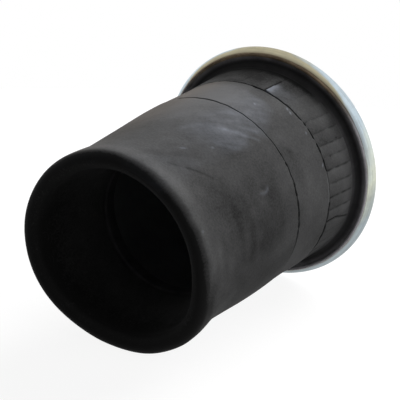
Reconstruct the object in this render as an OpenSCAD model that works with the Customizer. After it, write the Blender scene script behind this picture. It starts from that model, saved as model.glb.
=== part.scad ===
// Reversible-sleeve air spring bellows, in millimetres.
// The spring's axis is Y. The bead plate's mounting face is the plane y = 0 and the studs point to +Y.
// The sleeve hangs from the plate towards -Y, folds back into itself, and ends in the lower bead.
// Every round piece is drawn as an outline of radius against depth below the mounting face, then turned.

/* [Bead plate] */
// Outer diameter of the crimped bead plate
plate_d = 230; // [226:1:236]
// Thickness of the pressed sheet
sheet_t = 2.5; // [2.2:0.1:2.5]
// Outer radius of the curled rim
curl_r = 7; // [7:0.1:7.4]
// How far the curl turns past its widest point, in degrees
curl_end = 69; // [60:1:72]

/* [Studs and air port] */
// Distance between the two studs
stud_spacing = 157.5; // [150:0.5:160]
// Radius of a stud, M12
stud_r = 6; // [5:0.5:7]
// Length of a stud above the mounting face
stud_l = 30; // [20:1:40]
// Offset of the air port from the spring's axis
port_offset = 44.5; // [40:0.5:48]
// Radius of the air port's bore, inside its M22 thread
port_r = 10.2; // [9:0.1:11]
// Outer radius of the air port's boss
boss_r = 15; // [14:0.5:17]
// Depth of the air port, mounting face to the boss's inner end
port_depth = 18; // [14:0.5:19]

/* [Sleeve outside] */
// Radius of the sleeve where it leaves the flange
shoulder_r = 97.3; // [95.5:0.1:99]
// Radius at the seam between the ribbed band and the shoulder band
upper_seam_r = 95.5; // [94.5:0.1:97]
// Radius at the seam between the shoulder band and the body
lower_seam_r = 94.9; // [93:0.1:96]
// Radius of the waist above the rolling fold
waist_r = 90.3; // [88:0.1:93]
// Radius of the rolling fold, its widest point
fold_outer_r = 91.4; // [90.5:0.1:94]
// Depth of the seam between the ribbed band and the shoulder band
upper_seam = 62; // [50:0.5:80]
// Depth of the seam between the shoulder band and the body
lower_seam = 118.4; // [100:0.2:140]
// Depth of the waist
waist = 224.5; // [200:0.5:235]
// Depth of the end of the rolling fold
fold_end = 267.4; // [262:0.2:275]
// Radius of the bend at the fold
fold_r = 8; // [7.2:0.1:9]

/* [Wall layers] */
// Thickness of the outer rubber cover
cover_t = 1.9; // [1.6:0.1:2]
// Thickness of one cord ply
ply_t = 0.8; // [0.7:0.05:0.8]
// Thickness of the airtight liner
liner_t = 2; // [1.8:0.1:2.1]

/* [Beads] */
// Diameter of one turn of the bead wire
wire_d = 1.2; // [1:0.05:1.2]
// Radius of the lower bead's bore, where the piston seats
seat_r = 64.5; // [64:0.1:65]
// Radius of the turned-in wall where it meets the lower bead
turned_in_r = 66; // [65.8:0.1:66.5]
// Depth of the joint line between turned-in wall and lower bead
bead_line = 188; // [187:0.5:190]
// Radius of the lower bead's outer side
bead_outer_r = 77; // [76.5:0.1:78]

/* [Hidden] */
$fn = 96;
wire_gap = 0.01;
big = 400;

// Depths of the layer faces below the cover's outer surface, cover first
ply_1 = cover_t;
ply_2 = cover_t + ply_t;
liner_1 = cover_t + 2 * ply_t;
wall_t = liner_1 + liner_t;

// Upper bead: the curl's centre, the flange's turning centre, and the wire ring
curl_x = plate_d / 2 - curl_r;
flange_bend_r = 13;
flange_x = shoulder_r - wall_t + flange_bend_r;
flange_y = sheet_t + flange_bend_r;
core_r = 1.5 * wire_d;
wrap_r = core_r + 2 * ply_t;
core_y = sheet_t + liner_t + wrap_r;
turn_up = 5;
underside_y = 12.8;
underside_r = 6.7;
underside_x = shoulder_r + underside_r;
flare_y = underside_y + underside_r;

// Rolling fold: the centre of its bend
fold_x = fold_outer_r - fold_r;
fold_y = fold_end - fold_r;

// Lower bead: its wire ring, the lengths of the turned ply ends, and its outline
low_core_x = turned_in_r + liner_1 + core_r;
low_core_y = 178;
low_turn = 6;
bead_top = low_core_y - wrap_r - 3.1;
bead_side_end = 184;
bead_corner = 2;

seam_v = 0.5;
stud_head_r = 11;
stud_head_t = 4;
stud_tip = 1.5;
stud_neck = 1;
stud_relief = 1.2;
port_lead = 1.2;
spigot_r = 13;
hole_gap = 0.2;

rubber = [0.17, 0.17, 0.175];
cord = [0.34, 0.33, 0.31];
inner_rubber = [0.1, 0.1, 0.105];
zinc = [0.78, 0.79, 0.76];
wire = [0.62, 0.53, 0.4];

// Smooth step from 0 to 1
function ease(t) = (1 - cos(180 * t)) / 2;

function mix(a, b, t) = a + (b - a) * t;

// Outer radius of the sleeve's outer wall at a depth
function outside_r(y) =
    y < upper_seam ? mix(shoulder_r, upper_seam_r, (y - flare_y) / (upper_seam - flare_y))
    : y < lower_seam ? mix(upper_seam_r, lower_seam_r, (y - upper_seam) / (lower_seam - upper_seam))
    : y < waist ? mix(lower_seam_r, waist_r, ease((y - lower_seam) / (waist - lower_seam)))
    : mix(waist_r, fold_outer_r, ease((y - waist) / (fold_y - waist)));

// Bore radius of the turned-in wall at a depth
function bore_r(y) = mix(turned_in_r, fold_x - fold_r, ease((y - bead_line) / (fold_y - bead_line)));

function steps(a, b, n) = [for (i = [0:n]) i == n ? b : mix(a, b, i / n)];

// Depths at which the outer wall's outline is drawn
wall_depths = concat([flange_y, flare_y, upper_seam], steps(lower_seam, waist, 10),
    [for (y = steps(waist, fold_y, 5)) if (y > waist) y]);
bore_depths = steps(bead_line, fold_y, 7);

// Below the flare the outer wall follows the sleeve's outside, above it the wall is straight
function wall_r(y) = y <= flare_y ? shoulder_r : outside_r(y);

// Turns an outline of radius and depth about the spring's axis
module turned() {
    rotate([90, 0, 0]) rotate_extrude(convexity = 6) children();
}

// Outline of a layer of the outer wall between two depths, from skin depth a to skin depth b
module wall_layer(from, to, a, b) {
    ys = [for (y = wall_depths) if (y >= from && y <= to) y];
    polygon(concat(
        [for (y = ys) [wall_r(y) - a, y]],
        [for (i = [len(ys) - 1:-1:0]) [wall_r(ys[i]) - b, ys[i]]]));
}

// Outline of a layer of the turned-in wall, from skin depth a to skin depth b
module bore_layer(a, b) {
    n = len(bore_depths) - 1;
    polygon(concat(
        [for (y = bore_depths) [bore_r(y) + a, y]],
        [for (i = [n:-1:0]) [bore_r(bore_depths[i]) + b, bore_depths[i]]]));
}

// Outline of a layer of the fold, from skin depth a to skin depth b
module fold_layer(a, b) {
    translate([fold_x, fold_y]) difference() {
        circle(fold_r - a);
        circle(fold_r - b);
        translate([-big / 2, -big]) square(big);
    }
}

// A ring sector between two radii round the origin, the quarter towards low radius and low depth
module quarter(outer, inner) {
    intersection() {
        difference() {
            circle(outer);
            circle(inner);
        }
        translate([-big, -big]) square(big);
    }
}

// Outline of a layer that runs from the wall round the flange's bend and out to the wire ring
module flange_layer(a, b) {
    outer = flange_bend_r - wall_t + b;
    inner = flange_bend_r - wall_t + a;
    translate([flange_x, flange_y]) quarter(outer, inner);
    translate([flange_x, flange_y - outer]) square([curl_x - flange_x, outer - inner]);
}

// Outline of the half ring that a ply makes round the upper wire ring, and its turned-up end
module turned_up_ply(outer, inner) {
    translate([curl_x, core_y]) {
        difference() {
            circle(outer);
            circle(inner);
            translate([-big, -big / 2]) square(big);
        }
        translate([-turn_up, inner]) square([turn_up, outer - inner]);
    }
}

// Outline of the seven wire turns, one in the middle and six round it
module wire_turns(x, y) {
    translate([x, y]) {
        circle(wire_d / 2 - wire_gap, $fn = 24);
        for (i = [0:5]) rotate(60 * i) translate([wire_d, 0])
            circle(wire_d / 2 - wire_gap, $fn = 24);
    }
}

// Everything that the plies, liner, wire and filler of the upper bead take up
module upper_bead_inside() {
    outer_ply_outline();
    inner_ply_outline();
    liner_outline();
    translate([curl_x, core_y]) circle(core_r);
    upper_filler_outline();
}

module liner_outline() {
    wall_layer(flange_y, fold_y, liner_1, wall_t);
    flange_layer(liner_1, wall_t);
}

module outer_ply_outline() {
    wall_layer(flange_y, fold_y, ply_1, ply_2);
    flange_layer(ply_1, ply_2);
    turned_up_ply(core_r + ply_t, core_r);
}

module inner_ply_outline() {
    wall_layer(flange_y, fold_y, ply_2, liner_1);
    flange_layer(ply_2, liner_1);
    turned_up_ply(wrap_r, core_r + ply_t);
}

module upper_filler_outline() {
    difference() {
        translate([curl_x - turn_up, core_y - core_r]) square([turn_up, 2 * core_r]);
        translate([curl_x, core_y]) circle(core_r);
        outer_ply_outline();
    }
}

// A point on the curl's cut end, at a distance from the curl's centre
function cut_end(r) = [curl_x + r * cos(curl_end), curl_r + r * sin(curl_end)];

// Rubber between the outer ply and the open side of the flange, up to the curled steel
module flange_rubber_outline() {
    bend = flange_bend_r - wall_t + ply_1;
    difference() {
        union() {
            translate([flange_x, flange_y]) intersection() {
                circle(bend);
                translate([-big, -big]) square(big);
            }
            translate([shoulder_r - ply_1, flange_y])
                square([flange_x - shoulder_r + ply_1, flare_y - flange_y]);
            polygon([[flange_x, flange_y - bend], [curl_x, flange_y - bend], [curl_x, curl_r],
                cut_end(curl_r - sheet_t), cut_end(curl_r - sheet_t / 2), [curl_x, underside_y],
                [flange_x, underside_y]]);
            translate([curl_x, curl_r]) circle(curl_r - sheet_t);
        }
        translate([underside_x, flare_y]) circle(underside_r);
        translate([underside_x, underside_y]) square(underside_r + 1);
        upper_bead_inside();
    }
}

// Shallow groove round the sleeve where two cover strips meet
module seam_groove(y) {
    translate([outside_r(y), y]) rotate(45) square(seam_v * sqrt(2), center = true);
}

// Flat disc of the pressed plate, with the holes for the studs and the air port
module bead_plate() color(zinc) {
    difference() {
        along_y(-sheet_t) cylinder(r = curl_x, h = sheet_t);
        for (side = [-1, 1]) translate([side * stud_spacing / 2, 0, 0])
            along_y(-sheet_t - 1) cylinder(r = stud_r + stud_neck + hole_gap, h = sheet_t + 2);
        translate([0, 0, port_offset]) along_y(-sheet_t - 1)
            cylinder(r = spigot_r + hole_gap, h = sheet_t + 2);
    }
}

// Curled rim of the same plate, a node of its own so that its collision leaves the disc's inside open
module bead_plate_rim() color(zinc) turned() translate([curl_x, curl_r]) intersection() {
    difference() {
        circle(curl_r);
        circle(curl_r - sheet_t);
    }
    polygon([[0, 0], [0, -big], [big, -big], [big, 0],
        [big * cos(curl_end), big * sin(curl_end)]]);
}

// Lays an upright solid along +Y, with its foot at the given y
module along_y(foot) {
    translate([0, foot, 0]) rotate([-90, 0, 0]) children();
}

// One stud: head under the plate, neck through it, relief at the face, then the threaded length
module stud() {
    along_y(-sheet_t - stud_head_t) cylinder(r = stud_head_r, h = stud_head_t);
    along_y(-sheet_t) cylinder(r = stud_r + stud_neck, h = sheet_t);
    along_y(0) cylinder(r = stud_r - stud_neck, h = stud_relief);
    along_y(stud_relief) cylinder(r = stud_r, h = stud_l - stud_tip - stud_relief);
    along_y(stud_l - stud_tip) cylinder(r1 = stud_r, r2 = stud_r - stud_tip, h = stud_tip);
}

module mounting_studs() color(zinc) {
    for (side = [-1, 1]) translate([side * stud_spacing / 2, 0, 0]) stud();
}

module air_port_boss() color(zinc) {
    translate([0, 0, port_offset]) difference() {
        union() {
            along_y(-sheet_t) cylinder(r = spigot_r, h = sheet_t);
            along_y(-port_depth) cylinder(r = boss_r, h = port_depth - sheet_t);
        }
        along_y(-port_depth - 1) cylinder(r = port_r, h = port_depth + 2);
        along_y(-port_lead) cylinder(r1 = port_r, r2 = port_r + port_lead, h = port_lead);
        along_y(0) cylinder(r = port_r + port_lead, h = 1);
    }
}

module upper_bead_core() color(wire) turned() wire_turns(curl_x, core_y);

module upper_bead_filler() color(inner_rubber) turned() upper_filler_outline();

module flange_chafer() color(rubber) turned() flange_rubber_outline();

module ribbed_band() color(rubber) turned() difference() {
    wall_layer(flare_y, upper_seam, 0, ply_1);
    seam_groove(upper_seam);
}

module shoulder_cover_band() color(rubber) turned() difference() {
    wall_layer(upper_seam, lower_seam, 0, ply_1);
    seam_groove(upper_seam);
    seam_groove(lower_seam);
}

module body_cover() color(rubber) turned() difference() {
    wall_layer(lower_seam, fold_y, 0, ply_1);
    seam_groove(lower_seam);
}

module outer_ply() color(cord) turned() outer_ply_outline();

module inner_ply() color(cord) turned() inner_ply_outline();

module liner() color(inner_rubber) turned() liner_outline();

module lobe_cover() color(rubber) turned() fold_layer(0, ply_1);

module lobe_outer_ply() color(cord) turned() fold_layer(ply_1, ply_2);

module lobe_inner_ply() color(cord) turned() fold_layer(ply_2, liner_1);

module lobe_liner() color(inner_rubber) turned() fold_layer(liner_1, wall_t);

module turned_in_cover() color(rubber) turned() bore_layer(0, ply_1);

module turned_in_outer_ply() color(cord) turned() bore_layer(ply_1, ply_2);

module turned_in_inner_ply() color(cord) turned() bore_layer(ply_2, liner_1);

module turned_in_liner() color(inner_rubber) turned() bore_layer(liner_1, wall_t);

module lower_bead_core() color(wire) turned() wire_turns(low_core_x, low_core_y);

// Outline of the plies that pass the lower wire ring, turn over it and come down its far side
module low_plies_outline() {
    translate([low_core_x, low_core_y]) {
        difference() {
            circle(wrap_r);
            circle(core_r);
            translate([-big / 2, 0]) square(big);
        }
        translate([-wrap_r, 0]) square([2 * ply_t, bead_line - low_core_y]);
        translate([core_r, 0]) square([2 * ply_t, low_turn]);
    }
}

module low_filler_outline() {
    difference() {
        translate([low_core_x, low_core_y]) polygon([[-core_r, 0], [core_r, 0], [core_r, low_turn],
            [-core_r, bead_line - low_core_y]]);
        translate([low_core_x, low_core_y]) circle(core_r);
    }
}

module lower_bead_plies() color(cord) turned() low_plies_outline();

module lower_bead_filler() color(inner_rubber) turned() low_filler_outline();

// Outline of the lower bead's hard rubber skin, with rounded upper corners
module low_bead_outline() {
    translate([seat_r + bead_corner, bead_top + bead_corner]) circle(bead_corner);
    translate([bead_outer_r - bead_corner, bead_top + bead_corner]) circle(bead_corner);
    polygon([[seat_r + bead_corner, bead_top], [bead_outer_r - bead_corner, bead_top],
        [bead_outer_r, bead_top + bead_corner], [bead_outer_r, bead_side_end],
        [turned_in_r + wall_t, bead_line], [turned_in_r, bead_line],
        [turned_in_r, bead_side_end + turned_in_r - seat_r - 0.5], [seat_r, bead_side_end - 0.5],
        [seat_r, bead_top + bead_corner]]);
}

module lower_bead_chafer() color(rubber) turned() difference() {
    low_bead_outline();
    low_plies_outline();
    low_filler_outline();
    translate([low_core_x, low_core_y]) circle(core_r);
}

bead_plate();
bead_plate_rim();
mounting_studs();
air_port_boss();
upper_bead_core();
upper_bead_filler();
flange_chafer();
ribbed_band();
shoulder_cover_band();
body_cover();
outer_ply();
inner_ply();
liner();
lobe_cover();
lobe_outer_ply();
lobe_inner_ply();
lobe_liner();
turned_in_cover();
turned_in_outer_ply();
turned_in_inner_ply();
turned_in_liner();
lower_bead_core();
lower_bead_filler();
lower_bead_plies();
lower_bead_chafer();
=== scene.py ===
"""Air spring bellows: detailed pieces, materials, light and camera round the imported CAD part."""

import math

import bmesh
import bpy
import numpy as np
from bpy.props import FloatProperty, FloatVectorProperty, IntProperty, PointerProperty
from mathutils import Matrix, Vector


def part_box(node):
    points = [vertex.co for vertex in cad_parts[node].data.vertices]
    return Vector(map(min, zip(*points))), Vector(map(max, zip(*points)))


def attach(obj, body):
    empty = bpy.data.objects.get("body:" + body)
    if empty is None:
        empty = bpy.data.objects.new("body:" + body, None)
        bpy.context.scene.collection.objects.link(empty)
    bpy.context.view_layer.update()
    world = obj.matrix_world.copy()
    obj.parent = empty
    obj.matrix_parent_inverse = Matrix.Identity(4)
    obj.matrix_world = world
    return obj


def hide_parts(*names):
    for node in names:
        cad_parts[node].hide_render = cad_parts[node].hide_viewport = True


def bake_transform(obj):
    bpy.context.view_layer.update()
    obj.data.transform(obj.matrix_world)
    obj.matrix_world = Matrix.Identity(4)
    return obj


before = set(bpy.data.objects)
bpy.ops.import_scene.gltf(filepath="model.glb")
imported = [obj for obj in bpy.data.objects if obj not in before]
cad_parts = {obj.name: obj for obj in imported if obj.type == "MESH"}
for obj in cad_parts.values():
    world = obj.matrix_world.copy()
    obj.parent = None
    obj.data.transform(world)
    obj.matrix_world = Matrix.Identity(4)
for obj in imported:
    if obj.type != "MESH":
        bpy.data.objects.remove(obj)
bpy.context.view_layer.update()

bl_info = {
    "name": "Air Spring Bellows",
    "version": (1, 0, 0),
    "blender": (4, 5, 0),
    "location": "3D View > Sidebar > Air Spring",
    "description": "Dresses a reversible-sleeve air spring bellows and sets its stage",
    "category": "Object",
}

MM = 0.001


def ring_size(node):
    """Greatest radius, least depth and greatest depth of a turned CAD node."""
    low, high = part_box(node)
    return high.x, -high.y, -low.y


def narrowest(node):
    """Least radius of a turned CAD node, and its depth."""
    points = [vertex.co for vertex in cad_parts[node].data.vertices]
    return min((math.hypot(point.x, point.z), -point.y) for point in points)


# Sizes read from the CAD part. A depth is measured from the mounting face towards the fold
CURL_X, _, SHEET = ring_size("bead_plate")
PLATE_R, _, CURL_DEPTH = ring_size("bead_plate_rim")
CURL_R = PLATE_R - CURL_X
SHOULDER_R, FLARE, UPPER_SEAM = ring_size("ribbed_band")
UPPER_SEAM_R, _, LOWER_SEAM = ring_size("shoulder_cover_band")
LOWER_SEAM_R, _, FOLD_LINE = ring_size("body_cover")
FOLD_OUTER_R, _, FOLD_END = ring_size("lobe_cover")
FOLD_R = FOLD_END - FOLD_LINE
FOLD_X = FOLD_OUTER_R - FOLD_R
BORE_R, BEAD_LINE = narrowest("turned_in_cover")
SEAT_R, _ = narrowest("lower_bead_chafer")
BEAD_OUTER_R, BEAD_TOP, _ = ring_size("lower_bead_chafer")
_, WIRE_HIGH, WIRE_LOW = ring_size("upper_bead_core")
WIRE_R = (WIRE_LOW - WIRE_HIGH) / 2
WIRE_Y = (WIRE_LOW + WIRE_HIGH) / 2

# Depths of the layer faces below the cover's outer surface
PLY_1 = FOLD_OUTER_R - ring_size("lobe_outer_ply")[0]
PLY_2 = FOLD_OUTER_R - ring_size("lobe_inner_ply")[0]
LINER_1 = FOLD_OUTER_R - ring_size("lobe_liner")[0]
WALL = ring_size("turned_in_liner")[0] - (FOLD_X - FOLD_R)
WAIST_R, WAIST = narrowest("body_cover")
WAIST_R += PLY_1

# The flange's bends, as in the CAD part
FLANGE_BEND = 13 * MM
FLANGE_X = SHOULDER_R - WALL + FLANGE_BEND
FLANGE_Y = SHEET + FLANGE_BEND
UNDER_R = 6.7 * MM
UNDER_X = SHOULDER_R + UNDER_R
TURN_UP = 5 * MM
CURL_END = math.degrees(math.asin((CURL_DEPTH - CURL_R) / CURL_R))

# Where the turned-in wall is split into the piece in the mouth and the piece beside the lower bead
MOUTH_FOLLOWS = 208 * MM


def length_setting(name, description, default, low, high):
    """A length for a group of settings, with its default and limits in millimetres."""
    return FloatProperty(name=name, description=description, default=default * MM, min=low * MM,
                         max=high * MM, unit="LENGTH")


def colour_setting(name, description, default):
    """A colour for a group of settings."""
    return FloatVectorProperty(
        name=name, description=description, default=default, min=0, max=1, size=3, subtype="COLOR")


class SleeveSettings(bpy.types.PropertyGroup):
    """Sizes and colours of the rubber sleeve"""

    seam_depth: length_setting("Seam depth", "How deep the seams between the strips are", 1.3, 0, 1.8)
    seam_width: length_setting("Seam width", "Width of a fully open seam", 1.5, 0.4, 3)
    rib_count: IntProperty(
        name="Ribs", description="Pleats of the ribbed band at the plate", default=49, min=12, max=90)
    rib_height: length_setting(
        "Rib height", "Step from one pleat of the ribbed band to the next", 0.45, 0, 1)
    sag: FloatProperty(
        name="Sag", description="Share of the dents that the sleeve has from lying on its side",
        default=1.0, min=0, max=1, subtype="FACTOR")
    clean_rubber: colour_setting(
        "Clean rubber", "Colour of the rubber where no dust lies", (0.016, 0.016, 0.016))
    dusty_rubber: colour_setting(
        "Dusty rubber", "Colour of the rubber under its film of mould dust", (0.165, 0.165, 0.167))
    brown_dust: colour_setting(
        "Brown dust", "Colour of the rubber under warmer dust, on the left", (0.181, 0.165, 0.150))
    # Also the colour of the bluish painted sheen over the top of the sleeve
    scuffed_rubber: colour_setting(
        "Sheen and scuffs", "Colour of the bluish bloom and of scuffs on the rubber", (0.40, 0.43, 0.50))


class PlateSettings(bpy.types.PropertyGroup):
    """Sizes and colours of the bead plate, its studs and its air port"""

    warm_zinc: colour_setting("Warm zinc", "Zinc where its passivation looks khaki", (0.48, 0.44, 0.30))
    cool_zinc: colour_setting("Cool zinc", "Zinc where its passivation looks pale blue", (0.62, 0.73, 0.80))
    pale_zinc: colour_setting(
        "Pale zinc", "Zinc where its passivation looks greenish white", (0.82, 0.86, 0.72))
    grey_zinc: colour_setting("Grey zinc", "Zinc where its passivation is thin", (0.44, 0.51, 0.54))
    cut_edge: colour_setting("Cut edge", "Tarnished edge where the sheet was cut", (0.24, 0.19, 0.135))
    stud_pitch: length_setting("Stud pitch", "Thread pitch of the M12 studs", 1.75, 1, 2)
    port_pitch: length_setting("Port pitch", "Thread pitch of the M22 air port", 1.5, 1, 2)


class StageSettings(bpy.types.PropertyGroup):
    """Camera, floor and light"""

    azimuth: FloatProperty(
        name="Azimuth", description="Camera's turn away from looking along +Y",
        default=math.radians(32.28), subtype="ANGLE")
    elevation: FloatProperty(
        name="Elevation", description="Camera's height above the horizon",
        default=math.radians(22.47), subtype="ANGLE")
    distance: FloatProperty(
        name="Distance", description="Distance from the camera to the rim's plane",
        default=1.2659, min=0.3, unit="LENGTH")
    lens: FloatProperty(name="Lens", description="Focal length in millimetres", default=117, min=20)
    floor_slope: FloatProperty(
        name="Floor slope", description="Slope of the floor, on which the rim and the fold both rest",
        default=math.radians(6.3), subtype="ANGLE")
    ambient: FloatProperty(
        name="Ambient", description="Light from all round on matt surfaces", default=0.05, min=0)


class Value:
    """What a node gives. Where it is added, subtracted, multiplied or divided, a Math node is made."""

    def __init__(self, socket):
        self.socket = socket

    def __add__(self, other):
        return maths("ADD", self, other)

    def __radd__(self, other):
        return maths("ADD", other, self)

    def __sub__(self, other):
        return maths("SUBTRACT", self, other)

    def __rsub__(self, other):
        return maths("SUBTRACT", other, self)

    def __mul__(self, other):
        return maths("MULTIPLY", self, other)

    def __truediv__(self, other):
        return maths("DIVIDE", self, other)


def feed(node, inputs):
    """Sets a node's inputs to plain values, or links them to what other nodes give."""
    for key, value in inputs.items():
        if isinstance(value, Value):
            node.id_data.links.new(value.socket, node.inputs[key])
        else:
            node.inputs[key].default_value = value


def add(tree, kind, inputs=None, **settings):
    """A new node, with its settings and its inputs."""
    made = tree.nodes.new(kind)
    for key, value in settings.items():
        setattr(made, key, value)
    feed(made, inputs or {})
    return made


def result(tree, kind, inputs=None, output=0, **settings):
    """What a new node gives at one of its outputs."""
    return Value(add(tree, kind, inputs, **settings).outputs[output])


def maths(operation, first, second=0.0, clamp=False):
    """What a Math node gives for two values, of which one may be a plain number."""
    tree = (first if isinstance(first, Value) else second).socket.id_data
    return result(tree, "ShaderNodeMath", {0: first, 1: second}, operation=operation, use_clamp=clamp)


def split(vector):
    """The three numbers of a vector."""
    outputs = add(vector.socket.id_data, "ShaderNodeSeparateXYZ", {0: vector}).outputs
    return [Value(socket) for socket in outputs]


def noise(place, scale, detail=2.0, roughness=0.5, distortion=0.0):
    """Height of a noise pattern at a place, from 0 to 1."""
    return result(place.socket.id_data, "ShaderNodeTexNoise", {
        "Vector": place, "Scale": scale, "Detail": detail, "Roughness": roughness, "Distortion": distortion})


def spread(value, low, high, to_low=0.0, to_high=1.0):
    """A value stretched from one range to another and kept inside it."""
    return result(value.socket.id_data, "ShaderNodeMapRange",
                  {0: value, 1: low, 2: high, 3: to_low, 4: to_high}, interpolation_type="SMOOTHSTEP")


def grey(level):
    """A neutral colour."""
    return (level, level, level)


def opaque(colour):
    """A colour as a shader takes it: from a node as it is, and three numbers with full alpha."""
    return colour if isinstance(colour, Value) else (*colour, 1.0)


def blend_colour(factor, first, second):
    """A mix of two colours."""
    return result(factor.socket.id_data, "ShaderNodeMix",
                  {0: factor, 6: opaque(first), 7: opaque(second)}, 2, data_type="RGBA")


def colour_ramp(value, stops):
    """Colour picked from (value, colour) stops, in rising order."""
    made = add(value.socket.id_data, "ShaderNodeValToRGB", {0: value})
    elements = made.color_ramp.elements
    elements[0].position, elements[-1].position = stops[0][0], stops[-1][0]
    elements[0].color, elements[-1].color = opaque(stops[0][1]), opaque(stops[-1][1])
    for position, colour in stops[1:-1]:
        elements.new(position).color = opaque(colour)
    return Value(made.outputs[0])


def turned_tree():
    """Geometry Nodes that turn an outline about the Y axis, with an optional thread cut in its skin."""
    name = "Turned outline"
    if name in bpy.data.node_groups:
        return bpy.data.node_groups[name]
    tree = bpy.data.node_groups.new(name, "GeometryNodeTree")
    face = tree.interface
    face.new_socket("Outline", in_out="INPUT", socket_type="NodeSocketGeometry")
    face.new_socket("Turned", in_out="OUTPUT", socket_type="NodeSocketGeometry")
    for label, kind, default in (
            ("Segments", "NodeSocketInt", 360), ("Thread Pitch", "NodeSocketFloat", 1.0),
            ("Thread Depth", "NodeSocketFloat", 0.0), ("Unevenness", "NodeSocketFloat", 0.0),
            ("Unevenness Scale", "NodeSocketFloat", 20.0), ("Seed", "NodeSocketInt", 1)):
        face.new_socket(label, in_out="INPUT", socket_type=kind).default_value = default
    face.new_socket("Material", in_out="INPUT", socket_type="NodeSocketMaterial")
    given = {socket.name: Value(socket) for socket in add(tree, "NodeGroupInput").outputs}
    outline, segments = given["Outline"], given["Segments"]

    # A grid with one row for each point of the outline and one column for each step of the turn
    points = result(tree, "GeometryNodeAttributeDomainSize", {"Geometry": outline}, "Point Count")
    columns = segments + 1
    made = result(tree, "GeometryNodeMeshGrid", {"Vertices X": points, "Vertices Y": columns})
    index = result(tree, "GeometryNodeInputIndex")
    row = maths("FLOOR", index / columns)
    turn = (index - row * columns) / segments
    position = result(tree, "GeometryNodeInputPosition")
    sample = result(tree, "GeometryNodeSampleIndex",
                    {"Geometry": outline, "Value": position, "Index": row}, data_type="FLOAT_VECTOR")
    radius, along, skin = split(sample)

    # The thread: a groove that runs along the axis by one pitch in each turn
    tooth = maths("PINGPONG", along / given["Thread Pitch"] + turn, 0.5)
    radius = radius - tooth * 2.0 * given["Thread Depth"] * skin
    angle = turn * math.tau
    place = result(tree, "ShaderNodeCombineXYZ", {
        "X": radius * maths("SINE", angle), "Y": along, "Z": radius * maths("COSINE", angle)})
    made = result(tree, "GeometryNodeSetPosition", {"Geometry": made, "Position": place})
    for label, value, kind in (("skin", skin, "FLOAT"), ("rest", position, "FLOAT_VECTOR")):
        made = result(tree, "GeometryNodeStoreNamedAttribute",
                      {"Geometry": made, "Name": label, "Value": value}, data_type=kind)

    rough = result(tree, "ShaderNodeTexNoise", {
        "Vector": position, "W": given["Seed"], "Scale": given["Unevenness Scale"], "Detail": 2.0},
        "Color", noise_dimensions="4D")
    shift = result(tree, "ShaderNodeVectorMath", {0: rough, 1: (0.5, 0.5, 0.5)}, operation="SUBTRACT")
    shift = result(tree, "ShaderNodeVectorMath",
                   {0: shift, "Scale": given["Unevenness"] * 2.0}, operation="SCALE")
    for kind, inputs in (
            ("GeometryNodeSetPosition", {"Offset": shift}),
            ("GeometryNodeMergeByDistance", {"Distance": 2e-6}),
            ("GeometryNodeRealizeInstances", {}),
            ("GeometryNodeSetMaterial", {"Material": given["Material"]})):
        made = result(tree, kind, {"Geometry": made, **inputs})
    feed(add(tree, "NodeGroupOutput"), {0: made})
    return tree


def set_inputs(modifier, values):
    """Sets a Geometry Nodes modifier's inputs by the names that its tree shows."""
    for item in modifier.node_group.interface.items_tree:
        if item.item_type == "SOCKET" and item.name in values:
            modifier[item.identifier] = values[item.name]


def bake(piece):
    """Turns what a piece's modifiers make into its plain mesh, with its faces pointing outwards."""
    graph = bpy.context.evaluated_depsgraph_get()
    made = bpy.data.meshes.new_from_object(
        piece.evaluated_get(graph), preserve_all_data_layers=True, depsgraph=graph)
    piece.modifiers.clear()
    piece.data = made
    shell = bmesh.new()
    shell.from_mesh(made)
    bmesh.ops.recalc_face_normals(shell, faces=shell.faces)
    shell.to_mesh(made)
    shell.free()
    smooth(piece)
    return piece


def new_object(name, data):
    """A new object in the scene."""
    made = bpy.data.objects.new(name, data)
    bpy.context.scene.collection.objects.link(made)
    return made


def smooth(piece, sharp=38):
    """Smooth shading, with sharp edges only where two faces meet at more than an angle in degrees."""
    piece.data.shade_smooth()
    piece.data.set_sharp_from_angle(angle=math.radians(sharp))


def turned(name, outline, finish, segments=360, pitch=1.0, cut=0.0, uneven=0.0, grain=20.0, seed=1):
    """A piece in a material, turned about the axis from a closed outline of (radius, depth, skin) points."""
    points = [(radius, -depth, skin) for radius, depth, skin in outline]
    points.append(points[0])
    mesh = bpy.data.meshes.new(name)
    mesh.from_pydata(points, [(i, i + 1) for i in range(len(points) - 1)], [])
    piece = new_object(name, mesh)
    modifier = piece.modifiers.new("Turned outline", "NODES")
    modifier.node_group = turned_tree()
    set_inputs(modifier, {
        "Segments": segments, "Thread Pitch": pitch, "Thread Depth": cut, "Unevenness": uneven,
        "Unevenness Scale": grain, "Seed": seed, "Material": material(finish)})
    return bake(piece)


def arc(x, depth, radius, start, end, steps=12, skin=1.0):
    """Outline points on an arc. An angle of 0 degrees points outwards and 90 points deeper."""
    angles = np.radians(np.linspace(start, end, steps + 1))
    return [(x + radius * math.cos(angle), depth + radius * math.sin(angle), skin) for angle in angles]


def ease(share):
    """Smooth step from 0 to 1."""
    return (1 - np.cos(np.pi * np.clip(share, 0, 1))) / 2


def ramp(value, low, high):
    """0 below low, 1 above high and a smooth step between."""
    share = np.clip((value - low) / (high - low), 0, 1)
    return share * share * (3 - 2 * share)


def fall(value, low, high):
    """1 below low, 0 above high and a smooth step between."""
    return ramp(-value, -high, -low)


def window(value, start, full, fading, end):
    """1 between full and fading, 0 before start and after end, and smooth steps between."""
    return ramp(value, start, full) * fall(value, fading, end)


def bell(away, width):
    """1 where nothing is away, falling to 0 over a width."""
    return np.exp(-(away / width) ** 2)


def on_right(turn, low, high):
    """A ramp on the right half of the turn, which fades out underneath so that it closes without a step."""
    return window(turn, low, high, 150, 175)


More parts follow.
